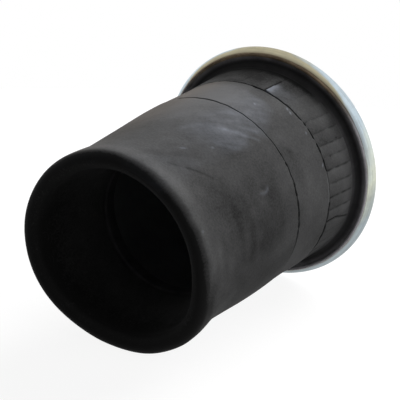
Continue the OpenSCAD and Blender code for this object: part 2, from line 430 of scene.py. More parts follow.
def outside_radius(depth):
    """Outer radius of the sleeve's outer wall at a depth below the flare, as in the CAD part."""
    depth = np.asarray(depth, float)
    bands = np.interp(depth, [FLARE, UPPER_SEAM, LOWER_SEAM], [SHOULDER_R, UPPER_SEAM_R, LOWER_SEAM_R])
    body = LOWER_SEAM_R + (WAIST_R - LOWER_SEAM_R) * ease((depth - LOWER_SEAM) / (WAIST - LOWER_SEAM))
    lip = WAIST_R + (FOLD_OUTER_R - WAIST_R) * ease((depth - WAIST) / (FOLD_LINE - WAIST))
    return np.where(depth < LOWER_SEAM, bands, np.where(depth < WAIST, body, lip))


def bore_radius(depth):
    """Bore radius of the turned-in wall at a depth, as in the CAD part."""
    depth = np.asarray(depth, float)
    share = ease((depth - BEAD_LINE) / (FOLD_LINE - BEAD_LINE))
    return BORE_R + (FOLD_X - FOLD_R - BORE_R) * share


def beside(radius_at, depths, offset=0.0, skin=1):
    """Outline points at the depths of a wall, at an offset from its radius."""
    return [(float(radius_at(depth)) + offset, depth, skin) for depth in depths]


def row_depths(start, end, step, seams=()):
    """Depths of a wall's rows: even steps, and close rows beside each seam."""
    close = np.array([0, 0.12, 0.3, 0.5, 0.75, 1.05, 1.5]) * MM
    even = np.linspace(start, end, max(2, round((end - start) / step) + 1))
    for seam in seams:
        even = even[np.abs(even - seam) > close[-1] + step / 3]
    near = [seam + side * close for seam in seams for side in (-1, 1)]
    rows = np.unique(np.round(np.concatenate([even, [start, end], *near]), 7))
    return rows[(rows >= start - 1e-9) & (rows <= end + 1e-9)]


def polar(piece):
    """Each point's turn from +Z towards +X in degrees, depth, radius and skin weight, as it was turned."""
    count = len(piece.data.vertices)
    rest = np.empty(count * 3, np.float32)
    skin = np.empty(count, np.float32)
    piece.data.attributes["rest"].data.foreach_get("vector", rest)
    piece.data.attributes["skin"].data.foreach_get("value", skin)
    x, y, z = rest.reshape(-1, 3).T.astype(float)
    return np.degrees(np.arctan2(x, z)), -y, np.hypot(x, z), skin


def keep(piece, name, values):
    """Stores one number for each point of a piece, for its material."""
    attribute = piece.data.attributes.get(name) or piece.data.attributes.new(name, "FLOAT", "POINT")
    attribute.data.foreach_set("value", np.asarray(values, np.float32))


def raise_skin(piece, rise):
    """Moves each point away from the spring's axis by its own distance."""
    mesh = piece.data
    place = np.empty(len(mesh.vertices) * 3, np.float32)
    mesh.vertices.foreach_get("co", place)
    place = place.reshape(-1, 3)
    angle = np.arctan2(place[:, 0], place[:, 2])
    place[:, 0] += rise * np.sin(angle)
    place[:, 2] += rise * np.cos(angle)
    mesh.vertices.foreach_set("co", place.ravel())
    mesh.update()


# Length of one degree round the long body
DEGREE = math.radians(1) * LOWER_SEAM_R

# Where the sleeve has lost its round shape by lying on its side: the dent's turn and half width in
# degrees, the depths where it starts and is full, and the change of radius, in millimetres
DENTS = (
    (192, 32, 190, 255, -6.0), (263, 30, 190, 255, 3.2), (120, 20, 202, 252, 3.4),
    (334, 25, 195, 235, -1.0), (138, 45, 60, 95, -1.2), (326, 40, 60, 110, 0.5))


def sag(piece, inside=False):
    """Dents a piece of the sleeve. Inside the mouth the dents fade out towards the stiff lower bead."""
    turn, depth, _, _ = polar(piece)
    total = np.zeros_like(turn)
    for centre, half, start, full, change in DENTS:
        away = (turn - centre + 180) % 360 - 180
        total += change * MM * np.exp(-np.abs(away / half) ** 2.6) * ramp(depth, start * MM, full * MM)
    if inside:
        total *= ramp(depth, BEAD_LINE, 255 * MM)
    raise_skin(piece, bpy.context.scene.sleeve.sag * total)


def waves(turn, depth, seed, crests, lengths, count=9):
    """Smooth random unevenness round the sleeve, mostly between -1 and 1, that closes after a whole turn."""
    random = np.random.default_rng(seed)
    total = np.zeros_like(turn)
    for _ in range(count):
        crest = random.integers(crests[0], crests[1] + 1)
        pitch = math.tau / random.uniform(*lengths) * random.choice((-1, 1))
        total += np.sin(crest * np.radians(turn) + pitch * depth + random.uniform(0, math.tau))
    return total / math.sqrt(count)


def around(turn, seed, crests):
    """Random unevenness that changes round the sleeve but not along it."""
    return waves(turn, np.zeros_like(turn), seed, crests, (1, 2))


def spot(turn, depth, place, wide, long, tilt=0.0):
    """1 at a (degrees, millimetres) place, falling to 0 over millimetres round the sleeve and along it."""
    x, y = (turn - place[0]) * DEGREE, depth - place[1] * MM
    cosine, sine = math.cos(math.radians(tilt)), math.sin(math.radians(tilt))
    across, along = (x * cosine + y * sine) / (wide * MM), (y * cosine - x * sine) / (long * MM)
    return np.exp(-across ** 2 - along ** 2)


def stroke(turn, depth, start, end, width):
    """1 on a line between two (degrees, millimetres) places, falling to 0 over millimetres beside it."""
    x, y = (turn - start[0]) * DEGREE, depth - start[1] * MM
    end_x, end_y = (end[0] - start[0]) * DEGREE, (end[1] - start[1]) * MM
    share = np.clip((x * end_x + y * end_y) / (end_x ** 2 + end_y ** 2), 0, 1)
    return bell(np.hypot(x - share * end_x, y - share * end_y), width * MM)


def patches(turn, depth, places):
    """Total of soft-edged patches, each from one turn and depth to another in degrees and millimetres."""
    total = np.zeros_like(depth)
    margin = 6
    for (left, right), (near, far), amount in places:
        across = window(turn, left - margin, left + margin, right - margin, right + margin)
        along = window(depth / MM, near - margin, near + margin, far - margin, far + margin)
        total += amount * across * along
    return total


def openness(turn, stretches, seed):
    """How far a seam gapes at each point, from stretches of (start, end, share) in degrees."""
    seen = (turn > stretches[0][0]) & (turn < stretches[-1][1])
    loose = np.clip(0.45 + 0.5 * around(turn, seed, (9, 40)), 0, 1)
    total = np.where(seen, 0.0, loose)
    margin = 0.4
    for start, end, share in stretches:
        inside = window(turn, start - margin, start + margin, end - margin, end + margin)
        total = np.maximum(total, share * inside)
    return total


# How far the two seams gape round the seen side of the sleeve, from one angle to another in degrees
LOWER_SEAM_GAPES = (
    (-24, -18, 0.35), (-18.8, -16, 1.7), (-16, 20, 0.85), (20, 53, 0.95), (53, 56, 0.4), (56.8, 59, 1.2),
    (59, 68, 0.4), (68.6, 70.6, 1.0), (70.6, 73, 0.4), (73, 75.6, 1.0), (78.6, 81, 1.0), (81, 85, 0.35),
    (84.8, 87.2, 1.1), (87, 90, 0.3), (90.5, 93.5, 0.9), (95.5, 98.5, 0.8), (98.5, 138, 0.85))
UPPER_SEAM_GAPES = (
    (-16, -4, 0.3), (-4, 8, 0.95), (8, 18.5, 1.9), (18.5, 42, 1.5), (43.6, 45.8, 1.4), (48, 54, 0.95),
    (57, 62.5, 1.1), (62.5, 66.5, 0.3), (66.5, 73, 0.9), (73, 91, 0.2), (91, 138, 1.6))

# Each seam's depth, gapes and seed
SEAMS = {"upper": (UPPER_SEAM, UPPER_SEAM_GAPES, 11), "lower": (LOWER_SEAM, LOWER_SEAM_GAPES, 12)}


def seam(turn, depth, which):
    """(drop, dark) of a seam at each point: how deep its groove cuts, and how dark it is."""
    settings = bpy.context.scene.sleeve
    at, gapes, seed = SEAMS[which]
    wander = 0.25 * MM * around(turn, seed, (20, 60))
    gap = openness(turn, gapes, seed)
    half = settings.seam_width * (0.28 + 0.3 * gap)
    away = np.abs(depth - at - wander)
    drop = settings.seam_depth * np.minimum(gap, 1.2) * np.clip(1 - (away / half) ** 2, 0, 1)
    return drop, np.clip(1.6 * gap, 0, 1) * bell(away, 0.8 * half)


def coordinates_group():
    """Shader group with a sleeve point's place as it was turned, and its place along the cords."""
    name = "Sleeve coordinates"
    if name in bpy.data.node_groups:
        return bpy.data.node_groups[name]
    tree = bpy.data.node_groups.new(name, "ShaderNodeTree")
    for label in ("Place", "Along Cords"):
        tree.interface.new_socket(label, in_out="OUTPUT", socket_type="NodeSocketVector")
    place = result(tree, "ShaderNodeAttribute", output="Vector", attribute_name="rest")
    # Patterns follow the cords' twist, and are drawn out along it into streaks
    degrees_per_metre, squeeze = 500.0, 0.12
    twist = split(place)[1] * -math.radians(degrees_per_metre)
    twisted = result(tree, "ShaderNodeVectorRotate", {"Vector": place, "Angle": twist},
                     rotation_type="Y_AXIS")
    streaked = result(tree, "ShaderNodeMapping", {"Vector": twisted, "Scale": (1, squeeze, 1)})
    feed(add(tree, "NodeGroupOutput"), {"Place": place, "Along Cords": streaked})
    return tree


def new_material(name):
    """A material with its node tree and its main shader."""
    material = bpy.data.materials.new(name)
    material.use_nodes = True
    tree = material.node_tree
    return material, tree, tree.nodes["Principled BSDF"]


def new_rubber(name):
    """A matt material with its node tree, its main shader and the sleeve's two kinds of coordinates."""
    material, tree, shader = new_material(name)
    # Well below the specular level of a clean smooth surface
    feed(shader, {"Specular IOR Level": 0.06})
    where = add(tree, "ShaderNodeGroup", node_tree=coordinates_group()).outputs
    return material, tree, shader, Value(where["Place"]), Value(where["Along Cords"])


def kept(tree, name):
    """A number that was kept for each point of the piece."""
    return result(tree, "ShaderNodeAttribute", output="Fac", attribute_name=name)


def object_place(tree):
    """A point's place on the piece, in metres."""
    return result(tree, "ShaderNodeTexCoord", output="Object")


def bump(height, distance):
    """Relief for a shader's normal, from a height between 0 and 1."""
    return result(height.socket.id_data, "ShaderNodeBump",
                  {"Height": height, "Distance": distance, "Strength": 1.0})


def cover_rubber(name, dust):
    """Matt black sleeve rubber under a thin film of grey dust, streaked along the cords, with painted light
    and shade from the numbers kept on each piece.
    """
    settings = bpy.context.scene.sleeve
    material, tree, shader, place, along_cords = new_rubber(name)
    clouds = noise(place, 17, 5, 0.6)
    blotches = noise(place, 90, 5, 0.65)
    streaks = noise(along_cords, 48, 6, 0.62, 0.5)
    grain = noise(place, 520, 4, 0.7)
    fine = noise(place, 1500, 2, 0.6)
    # The film holds real dust together with painted light and painted shade
    film_and_painted_light = kept(tree, "dust") + dust
    for pattern, share in ((clouds, 0.13), (blotches, 0.3), (streaks, 0.24), (grain, 0.7)):
        film_and_painted_light = film_and_painted_light + (pattern - 0.5) * share
    film_and_painted_light = maths("MAXIMUM", film_and_painted_light, 0.0, clamp=True)
    dust_colour = blend_colour(kept(tree, "brown"), settings.dusty_rubber, settings.brown_dust)
    colour = blend_colour(film_and_painted_light, settings.clean_rubber, dust_colour)
    brushed = spread(streaks, 0.35, 0.65, 0.6, 1.35)
    uneven = spread(blotches, 0.3, 0.7, 0.7, 1.3)
    # Bluish painted sheen over the top, and pale scuffs
    scuffed = maths("MULTIPLY", kept(tree, "scuff"), brushed * uneven, clamp=True)
    colour = blend_colour(scuffed, colour, settings.scuffed_rubber)
    # Dark lines of seams, splices and scratches, and painted shade in the pleats' creases
    colour = blend_colour(kept(tree, "crease") * 0.96, colour, grey(0.001))
    relief = grain * 0.6 + fine * 0.4 + streaks * 0.8
    feed(shader, {"Base Color": colour, "Roughness": spread(film_and_painted_light, 0, 1, 0.64, 0.78),
                  "Normal": bump(relief, 0.12 * MM)})
    return material


def chafer_rubber():
    """Smooth clean black rubber of the flange and the lower bead, greyer beside the steel: dust on the flash
    ridge, and painted light in the shaded groove under the rim's curl and on the lower bead's seat.
    """
    material, tree, shader, place, _ = new_rubber("Chafer rubber")
    mottle = noise(place, 60, 4, 0.6)
    film_and_painted_light = maths("MULTIPLY", kept(tree, "dust"), spread(mottle, 0.3, 0.7, 0.7, 1.3), clamp=True)
    dust_colour = blend_colour(kept(tree, "brown"), (0.77, 0.75, 0.79), (0.7, 0.53, 0.36))
    feed(shader, {"Base Color": blend_colour(film_and_painted_light, grey(0.012), dust_colour),
                  "Roughness": spread(mottle, 0.3, 0.7, 0.42, 0.6),
                  "Normal": bump(noise(place, 700, 3, 0.6), 0.08 * MM)})
    return material


def cord_ply():
    """Rubberised cord ply, its cords at the bias angle."""
    material, tree, shader, _, along_cords = new_rubber("Cord ply")
    cords = result(tree, "ShaderNodeTexWave",
                   {"Vector": along_cords, "Scale": 260.0, "Distortion": 0.6, "Detail": 1.0}, 1)
    feed(shader, {"Base Color": blend_colour(cords, grey(0.02), (0.09, 0.08, 0.065)),
                  "Roughness": 0.7, "Normal": bump(cords, 0.2 * MM)})
    return material


def liner_rubber():
    """Smooth airtight rubber, greyed by the moulding bladder's powder."""
    material, _, shader, place, along_cords = new_rubber("Liner rubber")
    mottle = noise(place, 45, 4, 0.6)
    feed(shader, {"Base Color": blend_colour(mottle, (0.2, 0.2, 0.202), (0.38, 0.38, 0.383)),
                  "Roughness": spread(mottle, 0.3, 0.7, 0.38, 0.55),
                  "Normal": bump(noise(along_cords, 300, 2), 0.1 * MM)})
    return material


def bead_rubber():
    """Hard black rubber that fills the beads."""
    material, tree, shader, _, _ = new_rubber("Bead rubber")
    mottle = noise(object_place(tree), 90, 3)
    feed(shader, {"Base Color": blend_colour(mottle, grey(0.015), grey(0.04)),
                  "Roughness": 0.6, "Normal": bump(mottle, 0.1 * MM)})
    return material


def bead_wire():
    """Bronze-coated drawn steel wire."""
    material, tree, shader = new_material("Bead wire")
    drawn = noise(object_place(tree), 800, 2)
    feed(shader, {"Base Color": blend_colour(drawn, (0.36, 0.25, 0.15), (0.62, 0.47, 0.3)),
                  "Metallic": 1.0, "Roughness": 0.32, "Normal": bump(drawn, 0.03 * MM)})
    return material


def zinc(name, rough=0.34):
    """Passivated zinc on steel: yellow and blue tints that drift round the plate, and a dull cut edge."""
    settings = bpy.context.scene.plate
    material, tree, shader = new_material(name)
    place = object_place(tree)
    x, y, z = split(place)
    radius = maths("SQRT", maths("POWER", x, 2.0) + maths("POWER", z, 2.0))
    turn = maths("ABSOLUTE", maths("ARCTAN2", x, z)) / math.pi
    outer = spread(radius, 0.085, 0.106)
    cloud = 0.56 + noise(place, 14, 3) * 0.2
    tint = result(tree, "ShaderNodeMix", {0: outer, 2: cloud, 3: turn})
    drift = maths("MAXIMUM", outer, 0.35) * 0.14
    tint = tint + noise(place, 45, 3) * drift - kept(tree, "curl") * 0.24
    colour = colour_ramp(tint, (
        (0.13, settings.warm_zinc), (0.22, settings.cool_zinc), (0.38, settings.cool_zinc),
        (0.52, settings.pale_zinc), (0.66, settings.grey_zinc)))
    rings = result(tree, "ShaderNodeCombineXYZ", {"X": radius * 700.0, "Y": y * 700.0, "Z": turn * 9.0})
    marked = spread(noise(rings, 1.0, 3, 0.6), 0.35, 0.62, 0.26, 0.0) * maths("MAXIMUM", outer, 0.25)
    colour = blend_colour(marked, colour, (0.2, 0.19, 0.17))
    spangle = result(tree, "ShaderNodeTexVoronoi", {"Vector": place, "Scale": 260.0}, "Color")
    flake = result(tree, "ShaderNodeSeparateColor", {0: spangle})
    colour = blend_colour(spread(flake, 0, 1, 0, 0.12), colour, (0.3, 0.3, 0.28))
    stain = noise(place, 120, 4, 0.65)
    colour = blend_colour(spread(stain, 0.62, 0.8, 0, 0.35), colour, (0.35, 0.3, 0.22))
    colour = blend_colour(kept(tree, "cut"), colour, settings.cut_edge)
    feed(shader, {"Base Color": colour, "Metallic": 1.0,
                  "Roughness": spread(stain, 0.3, 0.75, rough, rough + 0.18),
                  "Normal": bump(noise(place, 300, 3), 0.06 * MM)})
    return material


# What makes each material
MAKERS = {
    "Ribbed rubber": lambda: cover_rubber("Ribbed rubber", 0.5),
    "Shoulder rubber": lambda: cover_rubber("Shoulder rubber", 0.6),
    "Body rubber": lambda: cover_rubber("Body rubber", 0.52),
    "Chafer rubber": chafer_rubber,
    "Cord ply": cord_ply,
    "Liner rubber": liner_rubber,
    "Bead rubber": bead_rubber,
    "Bead wire": bead_wire,
    "Passivated zinc": lambda: zinc("Passivated zinc"),
    "Stud zinc": lambda: zinc("Stud zinc", 0.28),
}


def material(name):
    """The material of that name, made when a piece first asks for it."""
    return bpy.data.materials.get(name) or MAKERS[name]()


def dress(node, name):
    """Gives a CAD node that stays a material."""
    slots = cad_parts[node].data.materials
    slots.clear()
    slots.append(material(name))


def wall_path(skin, wrapped):
    """One face of an outer-wall layer, from its end at the upper bead to the fold's lowest ring."""
    path = []
    flat = FLANGE_Y - (FLANGE_BEND - WALL + skin)
    wrap = WIRE_Y - flat
    if wrapped:
        path.append((CURL_X - TURN_UP, WIRE_Y + wrap, 0))
        path += arc(CURL_X, WIRE_Y, wrap, 90, -90, 10, 0)
    else:
        path.append((CURL_X, flat, 0))
    path += arc(FLANGE_X, FLANGE_Y, FLANGE_BEND - WALL + skin, 270, 180, 12, 0)
    rows = row_depths(FLARE, FOLD_LINE, 5 * MM)
    path += beside(outside_radius, rows[:-1], -skin, 0)
    return path + arc(FOLD_X, FOLD_LINE, FOLD_R - skin, 0, 90, 8, 0)


def mouth_path(skin, step=5 * MM, weight=0):
    """One face of a layer inside the mouth, from the fold's lowest ring to where the piece beside the bead
    begins.
    """
    rows = row_depths(MOUTH_FOLLOWS, FOLD_LINE, step)[-2::-1]
    lip = arc(FOLD_X, FOLD_LINE, FOLD_R - skin, 90, 180, 10, weight)
    return lip + beside(bore_radius, rows, skin, weight)


def bead_path(skin, step=5 * MM, weight=0):
    """One face of a turned-in layer beside the lower bead."""
    return beside(bore_radius, row_depths(BEAD_LINE, MOUTH_FOLLOWS, step)[::-1], skin, weight)


def bend_wall(piece):
    """Bakes the outer wall piece's transform into its mesh."""
    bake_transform(piece)


def bend_mouth(piece):
    """Bakes the turned-in wall piece's transform into its mesh."""
    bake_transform(piece)


def bend_bead(piece):
    """Bakes the transform of the piece beside the lower bead into its mesh."""
    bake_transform(piece)


def ray(tree, kind):
    """1 for rays of one kind and 0 for all others."""
    return result(tree, "ShaderNodeLightPath", output=kind)


def seen_directly(tree):
    """1 for rays from the camera, a mirror or glass, and 0 for light on matt surfaces."""
    seen = maths("MAXIMUM", ray(tree, "Is Camera Ray"), ray(tree, "Is Glossy Ray"))
    return maths("MAXIMUM", seen, ray(tree, "Is Transmission Ray"))


class AIRSPRING_OT_camera(bpy.types.Operator):
    """Places the camera at the photograph's viewing angle"""

    bl_idname = "airspring.camera"
    bl_label = "Camera"

    def execute(self, context):
        settings = context.scene.stage
        sine, cosine = math.sin(settings.azimuth), math.cos(settings.azimuth)
        height, level = math.sin(settings.elevation), math.cos(settings.elevation)
        right = Vector((cosine, sine, 0))
        up = Vector((-sine * height, cosine * height, level))
        ahead = Vector((-sine * level, cosine * level, -height))
        # How far to the right of the middle of the view, and above it, the rim's centre stands
        rim_right, rim_up = 65.90 * MM, 36.69 * MM
        rim = Vector((0, -CURL_R, 0))
        data = bpy.data.cameras.new("Camera")
        data.lens = settings.lens
        data.sensor_width = 36
        data.clip_start, data.clip_end = 0.05, 50
        camera = new_object("Camera", data)
        place = rim - rim_right * right - rim_up * up - settings.distance * ahead
        turn = Matrix((right, up, -ahead)).transposed().to_4x4()
        camera.matrix_world = Matrix.Translation(place) @ turn
        context.scene.camera = camera
        return {"FINISHED"}


class AIRSPRING_OT_stage(bpy.types.Operator):
    """Lays the pale floor, hangs the soft lights and sets the white surroundings"""

    bl_idname = "airspring.stage"
    bl_label = "Floor and light"

    def execute(self, context):
        self.lay_floor(context.scene.stage.floor_slope)
        self.surround(context.scene.stage.ambient)
        self.hang_light("Key light", (0.1, 1.75, 1.05), size=2.4, power=85)
        self.hang_light("Right light", (1.65, -0.15, 0.55), size=1.2, power=7)
        context.scene.view_settings.view_transform = "Standard"
        return {"FINISHED"}

    def lay_floor(self, slope):
        size, centre_y = 0.9, -0.12
        disc = bmesh.new()
        bmesh.ops.create_circle(disc, cap_ends=True, segments=96, radius=size)
        mesh = bpy.data.meshes.new("floor")
        disc.to_mesh(mesh)
        disc.free()
        floor = new_object("floor", mesh)
        # The rim's lowest point touches the sloping floor
        drop = PLATE_R / math.cos(slope) + (centre_y + CURL_R) * math.tan(slope)
        turn = Matrix.Rotation(-slope, 4, "X")
        mesh.transform(Matrix.Translation((0, centre_y, -drop)) @ turn)
        paper, tree, shader = new_material("Floor paper")
        tint = noise(object_place(tree), 3, 2)
        glow = seen_directly(tree) - ray(tree, "Is Glossy Ray") * 0.3
        feed(shader, {"Base Color": blend_colour(tint, grey(0.17), grey(0.2)), "Roughness": 0.9,
                      "Specular IOR Level": 0.0, "Emission Color": opaque(grey(1)),
                      "Emission Strength": glow * 0.9})
        mesh.materials.append(paper)

    def surround(self, ambient):
        world = bpy.data.worlds.new("Surroundings")
        bpy.context.scene.world = world
        world.use_nodes = True
        tree = world.node_tree
        aside, behind, above = split(result(tree, "ShaderNodeTexCoord", output="Generated"))
        facing = behind + above * 0.6
        right = maths("MAXIMUM", aside, 0.0) * 0.45
        shaded = spread(facing + right, -0.9, 0.1, 0.75, 0.0)
        strength = 1.0 - ray(tree, "Is Glossy Ray") * shaded
        soft = spread(facing, -0.9, 0.6, ambient * 0.35, ambient * 2)
        light, white = (
            result(tree, "ShaderNodeBackground", {"Color": opaque(grey(1)), "Strength": level})
            for level in (soft, strength))
        both = result(tree, "ShaderNodeMixShader", {0: seen_directly(tree), 1: light, 2: white})
        feed(tree.nodes["World Output"], {"Surface": both})

    def hang_light(self, name, place, size, power):
        data = bpy.data.lights.new(name, "AREA")
        data.shape = "DISK"
        data.size = size
        data.energy = power
        lamp = new_object(name, data)
        lamp.visible_glossy = False
        target = Vector((0, -0.13, 0))
        lamp.location = place
        lamp.rotation_euler = (target - Vector(place)).to_track_quat("-Z", "Y").to_euler()


class AIRSPRING_OT_bead_plate(bpy.types.Operator):
    """Makes the bead plate's curled rim and gives the flat disc its zinc"""

    bl_idname = "airspring.bead_plate"
    bl_label = "Bead plate"

    def execute(self, context):
        dress("bead_plate", "Passivated zinc")
        lip, lean = SHEET / 2, 6
        start, end = CURL_END - lean, CURL_END + 180 + lean
        mid, tip = CURL_R - lip, math.radians(CURL_END)
        outline = arc(CURL_X, CURL_R, CURL_R, -90, start, 26)
        outline += arc(CURL_X + mid * math.cos(tip), CURL_R + mid * math.sin(tip), lip, start, end, 10)
        outline += arc(CURL_X, CURL_R, CURL_R - SHEET, start, -90, 20, 0)
        rim = turned("bead_plate_rim_steel", outline, "Passivated zinc", 480,
                     uneven=0.18 * MM, grain=14, seed=4)
        turn, depth, radius, _ = polar(rim)
        past = np.degrees(np.arctan2(depth - CURL_R, radius - CURL_X))
        # The brown of the cut edge starts at an angle round the curl, a little later on the right
        stain = 67 + 5 * on_right(turn, 45, 85) + 1.5 * around(turn, 6, (3, 30))
        keep(rim, "cut", ramp(past - stain, -8, 5) * (past < 120))
        keep(rim, "curl", ramp(past, 14, CURL_END) * (1 - 0.8 * ramp(np.abs(turn), 35, 80)))
        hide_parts("bead_plate_rim")
        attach(rim, "fixed_end")
        return {"FINISHED"}


class AIRSPRING_OT_studs(bpy.types.Operator):
    """Makes the two threaded studs"""

    bl_idname = "airspring.studs"
    bl_label = "Studs"

    def execute(self, context):
        low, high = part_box("mounting_studs")
        head_r = high.z
        spacing = 2 * (high.x - head_r)
        tip, head = high.y, -low.y
        stud_r, neck_r, relief_r = 6 * MM, 7 * MM, 5 * MM
        relief, chamfer, edge = 1.2 * MM, 1.5 * MM, 0.5 * MM
        rows = np.linspace(relief, tip - chamfer, 150)
        outline = [(0, -tip, 0), (stud_r - chamfer, -tip, 0)]
        outline += [(stud_r, -y, 1) for y in rows[::-1]]
        outline += [(relief_r, -relief, 0), (relief_r, 0, 0), (neck_r, 0, 0), (neck_r, SHEET, 0),
                    (head_r - edge, SHEET, 0), (head_r, SHEET + edge, 0),
                    (head_r, head - edge, 0), (head_r - edge, head, 0), (0, head, 0)]
        stud = turned("mounting_studs_zinc", outline, "Stud zinc", 64,
                      pitch=context.scene.plate.stud_pitch, cut=0.95 * MM)
        pair = bmesh.new()
        for shift in (-spacing / 2, spacing):
            stud.data.transform(Matrix.Translation((shift, 0, 0)))
            pair.from_mesh(stud.data)
        pair.to_mesh(stud.data)
        pair.free()
        smooth(stud)
        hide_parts("mounting_studs")
        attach(stud, "fixed_end")
        return {"FINISHED"}


class AIRSPRING_OT_air_port(bpy.types.Operator):
    """Makes the threaded boss of the air port"""

    bl_idname = "airspring.air_port"
    bl_label = "Air port"

    def execute(self, context):
        low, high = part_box("air_port_boss")
        boss_r, end = high.x, -low.y
        offset = (low.z + high.z) / 2
        port_r, spigot_r, lead, edge = 10.2 * MM, 13 * MM, 1.2 * MM, 0.8 * MM
        thread = 0.75 * MM
        rows = np.linspace(lead, end - lead, 110)
        outline = [(port_r + lead, 0, 0)]
        outline += [(port_r + thread / 2, d, -1) for d in rows]
        outline += [(port_r, end, 0), (boss_r - edge, end, 0), (boss_r, end - edge, 0), (boss_r, SHEET, 0),
                    (spigot_r, SHEET, 0), (spigot_r, 0, 0)]
        boss = turned("air_port_boss_zinc", outline, "Stud zinc", 96,
                      pitch=context.scene.plate.port_pitch, cut=thread)
        boss.data.transform(Matrix.Translation((0, 0, offset)))
        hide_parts("air_port_boss")
        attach(boss, "fixed_end")
        return {"FINISHED"}


class AIRSPRING_OT_upper_bead(bpy.types.Operator):
    """Makes the flange's chafer rubber and dresses the upper wire ring and its filler"""

    bl_idname = "airspring.upper_bead"
    bl_label = "Upper bead"

    def execute(self, context):
        dress("upper_bead_core", "Bead wire")
        dress("upper_bead_filler", "Bead rubber")
        inside = CURL_R - SHEET
        tip = math.radians(CURL_END)
        under = FLARE - UNDER_R
        flash_x, flash_y, flash_r = CURL_X + 0.6 * MM, under + 0.6 * MM, 1.6 * MM
        cord_bend = FLANGE_BEND - WALL + PLY_1
        wrap = LINER_1 - PLY_1 + WIRE_R
        corner_x = CURL_X - TURN_UP
        reach = math.degrees(math.acos((FLANGE_X - corner_x) / cord_bend))
        outline = [(SHOULDER_R - PLY_1, FLARE, 0)]
        outline += arc(UNDER_X, FLARE, UNDER_R, 180, 270, 20)
        outline += arc(flash_x, flash_y, flash_r, 195, 15, 12)
        tip_x, tip_y = CURL_X + (inside + SHEET / 2) * math.cos(tip), CURL_R + inside * math.sin(tip)
        outline.append((tip_x, tip_y + SHEET / 3, 0))
        outline += arc(CURL_X, CURL_R, inside, CURL_END, -90, 16, 0)
        outline += arc(CURL_X, WIRE_Y, wrap, -90, 90, 12, 0)
        outline += [(corner_x, WIRE_Y + wrap, 0)]
        outline += arc(FLANGE_X, FLANGE_Y, cord_bend, 180 + reach, 180, 10, 0)
        flange = turned("flange_chafer_rubber", outline, "Chafer rubber", 480,
                        uneven=0.15 * MM, grain=16, seed=7)
        turn, depth, radius, skin = polar(flange)
        flash = ramp(radius, flash_x - flash_r, flash_x - 0.6 * flash_r) * skin
        # The flash ridge carries dust, made paler still as painted light where the rim's curl shades it
        ridge = 0.66 + 0.3 * on_right(turn, 45, 70) + 0.12 * waves(turn, depth, 3, (2, 9), (0.05, 0.2))
        ridge *= 1 - 0.4 * window(turn, 12, 24, 38, 48)
        across = (radius - SHOULDER_R) / (flash_x - flash_r - SHOULDER_R)
        # Painted light in the groove beside the steel, which the rim's curl shades, and at the flare's root
        # on the right
        root_painted_light = 0.05 * fall(across, 0.02, 0.16) * on_right(turn, 25, 60)
        groove = 0.035 + 0.6 * ramp(across, 0.42, 1.05) ** 1.6 + root_painted_light
        keep(flange, "dust", np.maximum(flash * ridge, groove * skin))
        keep(flange, "brown", flash * fall(np.abs(turn), 35, 60))
        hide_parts("flange_chafer")
        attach(flange, "fixed_end")
        return {"FINISHED"}


# The pleats of the ribbed band: their lean in degrees per metre, and one pleat's (degrees, millimetres)
PLEAT_LEAN, PLEAT_PLACE = 47.0, (66.4, 60)

# The ribbed band's two splices: both ends of each stretch as (degrees, millimetres)
SPLICES = (((14.9, 61.2), (15.8, 32)), ((103.5, 60.5), (103.8, 44)), ((103.8, 44), (107.9, 18)))

# Dark nicks in the ribbed band, and pale scuffs on the shoulder band: (degrees, millimetres)
NICKS = ((66.8, 50.1), (81.7, 49.6), (59.9, 30))
SCUFFS = ((32.6, 65.9), (35.4, 67.2), (49.3, 67.9), (69.0, 65.2), (20.2, 92.1))

# Patches where the strips are lighter or darker than elsewhere, partly dust and partly painted light and
# shade: angles, depths and change
RIBBED_DUST_AND_SHADING = (
    ((-60, 12), (10, 48), -0.2), ((-14, 0), (52, 66), -0.2), ((14, 26), (10, 44), -0.15),
    ((34, 42), (46, 66), 0.12), ((46, 58), (40, 66), -0.2), ((70, 104), (24, 36), 0.28),
    ((110, 160), (14, 66), -0.25))
SHOULDER_DUST_AND_SHADING = (
    ((-10, 20), (56, 66), -0.25), ((48, 74), (100, 124), -0.18), ((30, 42), (66, 98), -0.12),
    ((112, 160), (56, 124), -0.08), ((-22, 4), (98, 114), 0.1))
BODY_DUST_AND_SHADING = (
    ((44, 58), (112, 162), -0.12), ((62, 94), (142, 210), -0.2), ((104, 160), (112, 280), -0.12),
    ((60, 74), (162, 196), 0.33), ((2, 20), (152, 196), -0.12), ((24, 44), (214, 238), -0.16),
    ((32, 38), (180, 194), 0.12), ((54, 62), (258, 270), 0.3), ((20, 32), (252, 260), 0.2),
    ((76, 90), (238, 256), 0.27), ((108, 140), (214, 262), -0.12), ((-30, 6), (260, 280), -0.25),
    ((44, 64), (164, 184), -0.12), ((44, 66), (200, 230), -0.12), ((18, 40), (158, 178), -0.1),
    ((40, 48), (238, 252), -0.12), ((16, 26), (230, 242), -0.1))

